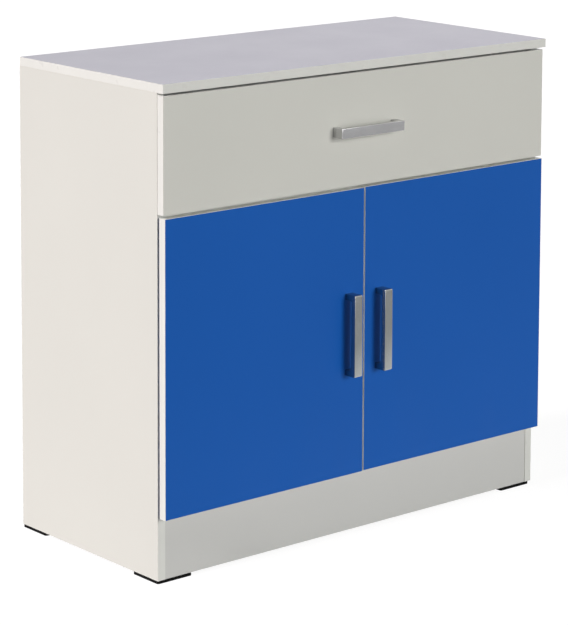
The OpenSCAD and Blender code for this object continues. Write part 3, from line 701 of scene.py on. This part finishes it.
# In reflections the floor's light pool fades between these two places along Y.
POOL_FAR_Y, POOL_NEAR_Y = -1.15, -0.55
POOL_FAR_GLOW, POOL_NEAR_GLOW = 0.65, 1.5

# The side screens begin and end where a ray's sideways share reaches these values.
SCREEN_START, SCREEN_FULL = 0.75, 0.9


def add_floor():
    """Pale floor: white to the camera, a pool of light in reflections, and dark grey as a bounce."""
    mesh = bpy.data.meshes.new("floor")
    half = FLOOR_HALF
    corners = [(-half, -half), (half, -half), (half, half), (-half, half)]
    mesh.from_pydata([(x, y, 0.0) for x, y in corners], [], [(0, 1, 2, 3)])
    floor = bpy.data.objects.new("floor", mesh)
    bpy.context.scene.collection.objects.link(floor)
    s = Shader("floor")
    s.set(Base_Color=s.blotches((FLOOR_BOUNCE,) * 3, 0.8, 0.01), Roughness=0.7, Specular_IOR_Level=0.1)
    rays = s.add("ShaderNodeLightPath").outputs
    white = (1.0, 1.0, 1.0, 1.0)
    catcher = s.add("ShaderNodeBsdfDiffuse", {"Color": (*(FLOOR_SEEN_DIFFUSE,) * 3, 1.0)})
    glow = s.add("ShaderNodeEmission", {"Color": white, "Strength": FLOOR_SEEN_GLOW})
    seen = s.add("ShaderNodeAddShader", {0: catcher.outputs[0], 1: glow.outputs[0]})
    level = s.span(s.axes[1], POOL_FAR_Y, POOL_NEAR_Y, POOL_FAR_GLOW, POOL_NEAR_GLOW)
    pool = s.add("ShaderNodeEmission", {"Color": white, "Strength": level})
    look = s.add("ShaderNodeMixShader", {0: rays["Is Glossy Ray"], 1: s.bsdf.outputs[0], 2: pool.outputs[0]})
    look = s.add("ShaderNodeMixShader", {0: rays["Is Camera Ray"], 1: look.outputs[0], 2: seen.outputs[0]})
    s.tree.links.new(look.outputs[0], s.tree.nodes["Material Output"].inputs["Surface"])
    give(floor, s.material)


def add_sun(name, towards, strength, spread, colour=(1, 1, 1)):
    """Large, far softbox in the given direction; spread is its width in degrees."""
    light = bpy.data.lights.new(name, "SUN")
    light.energy = strength * math.pi
    light.angle = math.radians(spread)
    light.color = colour
    obj = bpy.data.objects.new(name, light)
    obj.rotation_mode = "QUATERNION"
    obj.rotation_quaternion = Vector(towards).to_track_quat("Z", "Y")
    bpy.context.scene.collection.objects.link(obj)


def add_sky(fill, sheen, sides):
    """Even studio surround: white to the camera, dim as a light, brighter in reflections.

    The reflections also show a large white screen to the left and one to the right.
    """
    world = bpy.data.worlds.new("studio")
    world.use_nodes = True
    bpy.context.scene.world = world
    tree = world.node_tree

    def node(kind, feeds, **settings):
        made = tree.nodes.new(kind)
        for key, value in settings.items():
            setattr(made, key, value)
        for key, value in feeds.items():
            if isinstance(value, bpy.types.NodeSocket):
                tree.links.new(value, made.inputs[key])
            else:
                made.inputs[key].default_value = value
        return made.outputs

    rays = node("ShaderNodeLightPath", {})
    direction = node("ShaderNodeTexCoord", {})["Generated"]
    sideways = node("ShaderNodeSeparateXYZ", {"Vector": direction})["X"]
    sideways = node("ShaderNodeMath", {0: sideways}, operation="ABSOLUTE")[0]
    fade = {
        "Value": sideways,
        "From Min": SCREEN_START,
        "From Max": SCREEN_FULL,
        "To Min": sheen,
        "To Max": sides,
    }
    screens = node("ShaderNodeMapRange", fade, interpolation_type="SMOOTHSTEP")["Result"]
    shiny = node("ShaderNodeMath", {0: rays["Is Glossy Ray"], 1: screens}, operation="MULTIPLY")[0]
    level = node("ShaderNodeMath", {0: rays["Is Camera Ray"], 1: fill}, operation="MAXIMUM")[0]
    level = node("ShaderNodeMath", {0: level, 1: shiny}, operation="MAXIMUM")[0]
    background = tree.nodes["Background"].inputs
    background["Color"].default_value = (1.0, 1.0, 1.0, 1.0)
    tree.links.new(level, background["Strength"])


def shift_at(data, camera, mark, prop, value):
    """Gives the lens its shift only while the camera stands on its mark."""
    curve = data.driver_add(prop)
    curve.driver.type = "AVERAGE"
    distance = curve.driver.variables.new()
    distance.type = "LOC_DIFF"
    distance.targets[0].id = camera
    distance.targets[1].id = mark
    for modifier in list(curve.modifiers):
        curve.modifiers.remove(modifier)
    curve.keyframe_points.add(2)
    for point, away, level in zip(curve.keyframe_points, (0.0, 0.05), (value, 0.0)):
        point.co = (away, level)
        point.interpolation = "LINEAR"
    curve.extrapolation = "CONSTANT"


def add_camera():
    data = bpy.data.cameras.new("camera")
    data.sensor_fit = "AUTO"
    data.sensor_width = CAMERA_SENSOR
    data.lens = CAMERA_SENSOR * LENS_PER_SENSOR
    data.clip_end = 100.0
    camera = bpy.data.objects.new("camera", data)
    turn = Matrix.Rotation(-CAMERA_YAW, 4, "Z") @ Matrix.Rotation(math.pi / 2 - CAMERA_PITCH, 4, "X")
    camera.matrix_world = Matrix.Translation(CAMERA_PLACE) @ turn @ Matrix.Rotation(CAMERA_ROLL, 4, "Z")
    bpy.context.scene.collection.objects.link(camera)
    bpy.context.scene.camera = camera
    mark = bpy.data.objects.new("camera_mark", None)
    mark.location = CAMERA_PLACE
    bpy.context.scene.collection.objects.link(mark)
    for prop, value in LENS_SHIFT.items():
        shift_at(data, camera, mark, prop, value)


add_floor()
add_sky(fill=0.10, sheen=1.0, sides=2.6)
add_sun("left_softbox", towards=(-0.78, 0.10, 0.62), strength=1.065, spread=24, colour=(1.0, 0.945, 0.965))
add_sun("front_softbox", towards=(0.21, -0.94, 0.24), strength=0.51, spread=26)
# Level with the floor, so that it lights only the right side and the rear.
add_sun("rear_softbox", towards=(0.90, 0.43, 0.02), strength=0.48, spread=6)
add_camera()
bpy.context.scene.view_settings.view_transform = "Standard"
